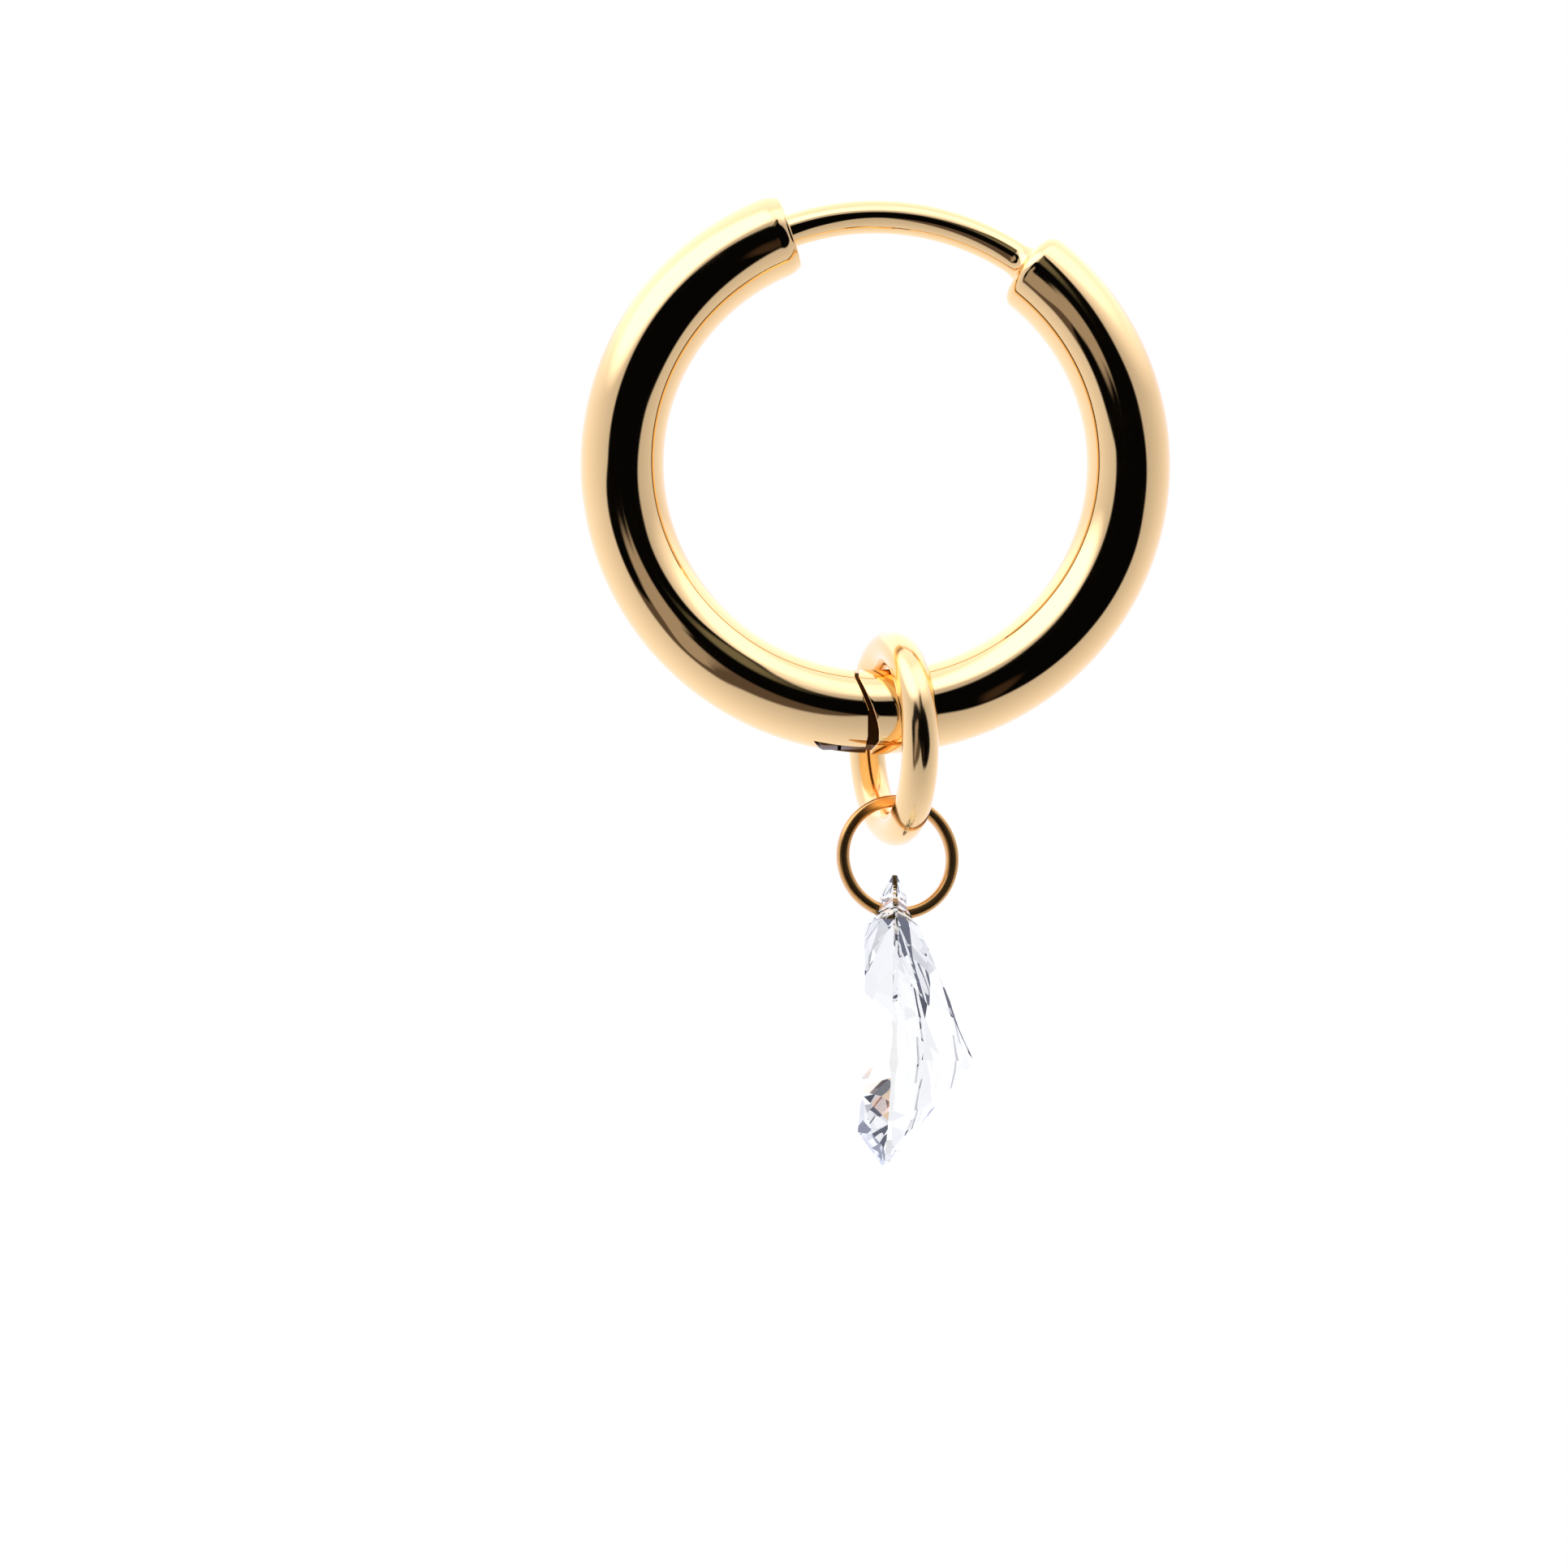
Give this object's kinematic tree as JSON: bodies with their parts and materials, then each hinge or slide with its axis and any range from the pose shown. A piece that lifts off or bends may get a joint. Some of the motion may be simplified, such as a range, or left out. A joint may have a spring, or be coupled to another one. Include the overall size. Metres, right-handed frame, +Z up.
{
  "type": "hoop charm earring",
  "caption": "Small round tube hoop that opens on a hinge, with a clear pear cut stone that hangs from it on a thick link and a thin ring.",
  "frame": {"origin": "middle of the ear post at the very top of the hoop, where the ear carries the earring", "axes": "the hoop stands in the XZ plane with its front towards -Y, +Z is up, and -X is the way the post goes into the gate"},
  "size_m": [0.014, 0.005, 0.0232],
  "materials": {
    "gold": "polished gold",
    "crystal": "clear, cut and polished"
  },
  "bodies": {
    "right_half": {"hoop_right": "gold", "hinge_pin": "gold"},
    "gate": {"hoop_left": "gold"},
    "link": {"charm_link": "gold"},
    "ring": {"drop_ring": "gold"},
    "stone": {"pear_stone": "crystal"}
  },
  "joints": [
    {"name": "gate_hinge", "type": "hinge", "parent": "right_half", "child": "gate", "pos_m": [-0.00095, 0, -0.0123], "axis": [0, -1, 0], "range_deg": [0, 30]},
    {"name": "link_swing", "type": "hinge", "parent": "right_half", "child": "link", "pos_m": [0.0005, 0, -0.01198], "axis": [1, 0, 0], "range_deg": [-40, 40]},
    {"name": "ring_swing", "type": "hinge", "parent": "link", "child": "ring", "pos_m": [0.0005, 0, -0.01475], "axis": [-0.2756, 0.9613, 0], "range_deg": [-35, 35]},
    {"name": "stone_swing", "type": "hinge", "parent": "ring", "child": "stone", "pos_m": [0.0005, 0, -0.01678], "axis": [0.9659, 0.2588, 0], "range_deg": [-30, 30]}
  ]
}
